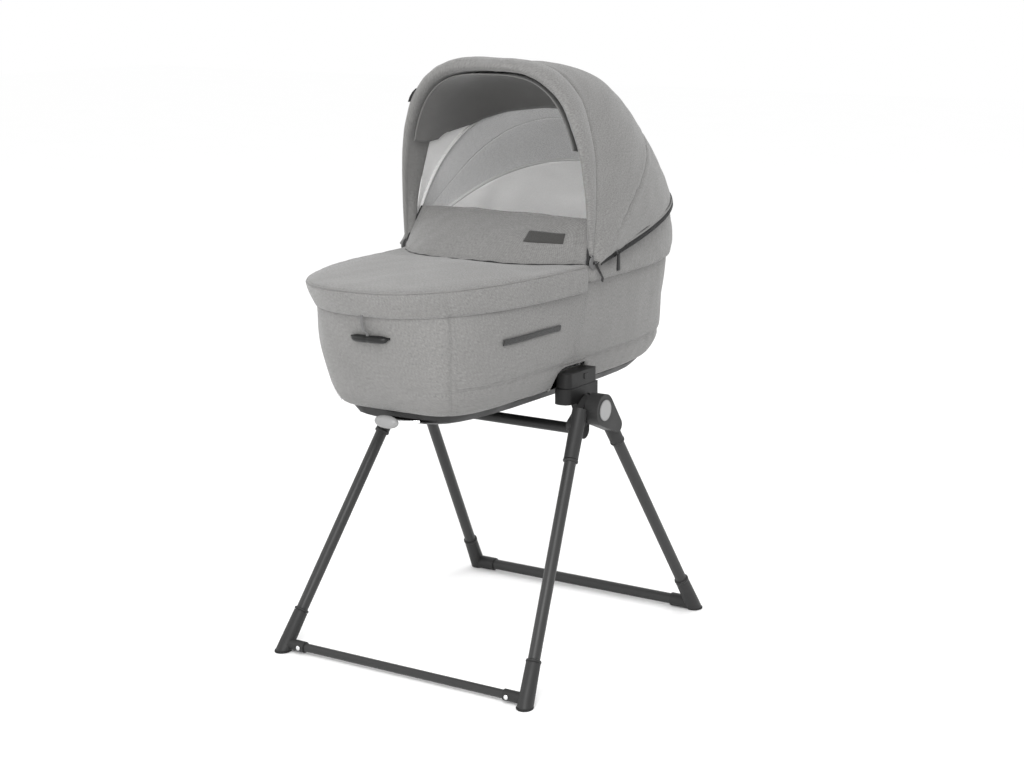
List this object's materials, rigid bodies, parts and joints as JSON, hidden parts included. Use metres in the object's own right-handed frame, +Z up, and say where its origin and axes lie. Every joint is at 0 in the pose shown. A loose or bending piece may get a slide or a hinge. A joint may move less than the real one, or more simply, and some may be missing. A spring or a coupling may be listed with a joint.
{
  "type": "bassinet on stand",
  "caption": "Fabric bassinet with folding hood and foot cover, clipped on a folding stand with splayed tube legs.",
  "frame": {"origin": "centre of the overall box at floor level", "axes": "+Z up, +X across to the side with the zip pull, -Y the foot end and +Y the head end"},
  "size_m": [0.5694, 0.94, 1.0993],
  "materials": {
    "shell_fabric": "grey melange twill",
    "lining_fabric": "white woven lining",
    "visor_fabric": "dark grey woven",
    "mattress_fabric": "white quilted cover",
    "dark_plastic": "fine grained moulding",
    "light_plastic": "satin silver grey",
    "leg_paint": "powder coated charcoal",
    "bar_paint": "powder coated black",
    "bright_metal": "bright zinc",
    "board_plastic": "grey moulding",
    "trim_dark": "black zip, tape and label"
  },
  "bodies": {
    "stand_hub": {"hub_right": "dark_plastic", "hub_left": "dark_plastic", "pivot_bolt_right": "bright_metal", "pivot_bolt_left": "bright_metal", "top_crossbar": "bar_paint"},
    "front_legs": {"front_knuckle_right": "dark_plastic", "front_knuckle_left": "dark_plastic", "front_leg_tube_right": "leg_paint", "front_leg_tube_left": "leg_paint", "front_foot_right": "dark_plastic", "front_foot_left": "dark_plastic", "front_bottom_bar": "leg_paint", "front_bracket_bolt_right": "bright_metal", "front_bracket_bolt_left": "bright_metal"},
    "rear_legs": {"rear_knuckle_right": "dark_plastic", "rear_knuckle_left": "dark_plastic", "pivot_cap_right": "light_plastic", "pivot_cap_left": "light_plastic", "rear_leg_tube_right": "leg_paint", "rear_leg_tube_left": "leg_paint", "rear_foot_right": "dark_plastic", "rear_foot_left": "dark_plastic", "rear_bottom_bar": "leg_paint"},
    "cot": {"side_shell": "shell_fabric", "inner_lining": "lining_fabric", "base_tray": "dark_plastic", "rim_frame": "board_plastic", "clip_adapter_right": "dark_plastic", "clip_adapter_left": "dark_plastic", "apron_cover": "shell_fabric", "head_band": "shell_fabric", "hood_rear_panel": "shell_fabric", "hood_hinge_right": "board_plastic", "hood_hinge_left": "board_plastic", "hood_zip": "trim_dark", "foot_hook": "dark_plastic", "elastic_loop": "shell_fabric", "side_tape_right": "trim_dark", "side_tape_left": "trim_dark", "mattress_foot": "mattress_fabric"},
    "backrest": {"backrest_board": "board_plastic", "mattress_head": "mattress_fabric"},
    "adjuster": {"adjuster_knob": "light_plastic", "adjuster_link": "bright_metal"},
    "release_right": {"release_button_right": "dark_plastic"},
    "release_left": {"release_button_left": "dark_plastic"},
    "hood_middle": {"hood_middle_panel": "shell_fabric", "hood_lining": "lining_fabric", "middle_bow": "board_plastic"},
    "hood_front": {"hood_front_panel": "shell_fabric", "hood_front_band": "shell_fabric", "front_bow": "board_plastic", "visor_panel": "visor_fabric"},
    "wind_flap": {"wind_flap": "shell_fabric", "blank_label": "trim_dark"},
    "zip_pull": {"zip_pull": "trim_dark"}
  },
  "joints": [
    {"name": "front_legs_fold", "type": "hinge", "parent": "stand_hub", "child": "front_legs", "pos_m": [0, 0, 0.463], "axis": [1, 0, 0], "range_deg": [0, 32]},
    {"name": "rear_legs_fold", "type": "hinge", "parent": "stand_hub", "child": "rear_legs", "pos_m": [0, 0, 0.463], "axis": [1, 0, 0], "range_deg": [-32, 0]},
    {"name": "cot_lift", "type": "slide", "parent": "stand_hub", "child": "cot", "axis": [0, 0, 1], "range_m": [0, 0.05]},
    {"name": "hood_middle_fold", "type": "hinge", "parent": "cot", "child": "hood_middle", "pos_m": [0, -0.01, 0.735], "axis": [-1, 0, 0], "range_deg": [0, 25]},
    {"name": "hood_front_fold", "type": "hinge", "parent": "hood_middle", "child": "hood_front", "pos_m": [0, -0.01, 0.735], "axis": [-1, 0, 0], "range_deg": [0, 23]},
    {"name": "wind_flap_fold", "type": "hinge", "parent": "cot", "child": "wind_flap", "pos_m": [0, -0.004, 0.7365], "axis": [1, 0, 0], "range_deg": [0, 60]},
    {"name": "backrest_tilt", "type": "hinge", "parent": "cot", "child": "backrest", "pos_m": [0, 0.03, 0.5135], "axis": [1, 0, 0], "range_deg": [0, 18]},
    {"name": "adjuster_slide", "type": "slide", "parent": "cot", "child": "adjuster", "axis": [1, 0, 0], "range_m": [0, 0.03]},
    {"name": "release_right_push", "type": "slide", "parent": "cot", "child": "release_right", "axis": [-1, 0, 0], "range_m": [0, 0.0025], "stiffness_N_per_m": 400},
    {"name": "release_left_push", "type": "slide", "parent": "cot", "child": "release_left", "axis": [1, 0, 0], "range_m": [0, 0.0025], "stiffness_N_per_m": 400},
    {"name": "zip_pull_swing", "type": "hinge", "parent": "cot", "child": "zip_pull", "pos_m": [0.2262, 0.052, 0.745], "axis": [0, -1, 0], "range_deg": [0, 80]}
  ],
  "couplings": [
    {"joint": "rear_legs_fold", "follows": "front_legs_fold", "ratio": -1},
    {"joint": "hood_front_fold", "follows": "hood_middle_fold", "ratio": 0.92},
    {"joint": "adjuster_slide", "follows": "backrest_tilt", "m_per_rad": 0.0952}
  ]
}
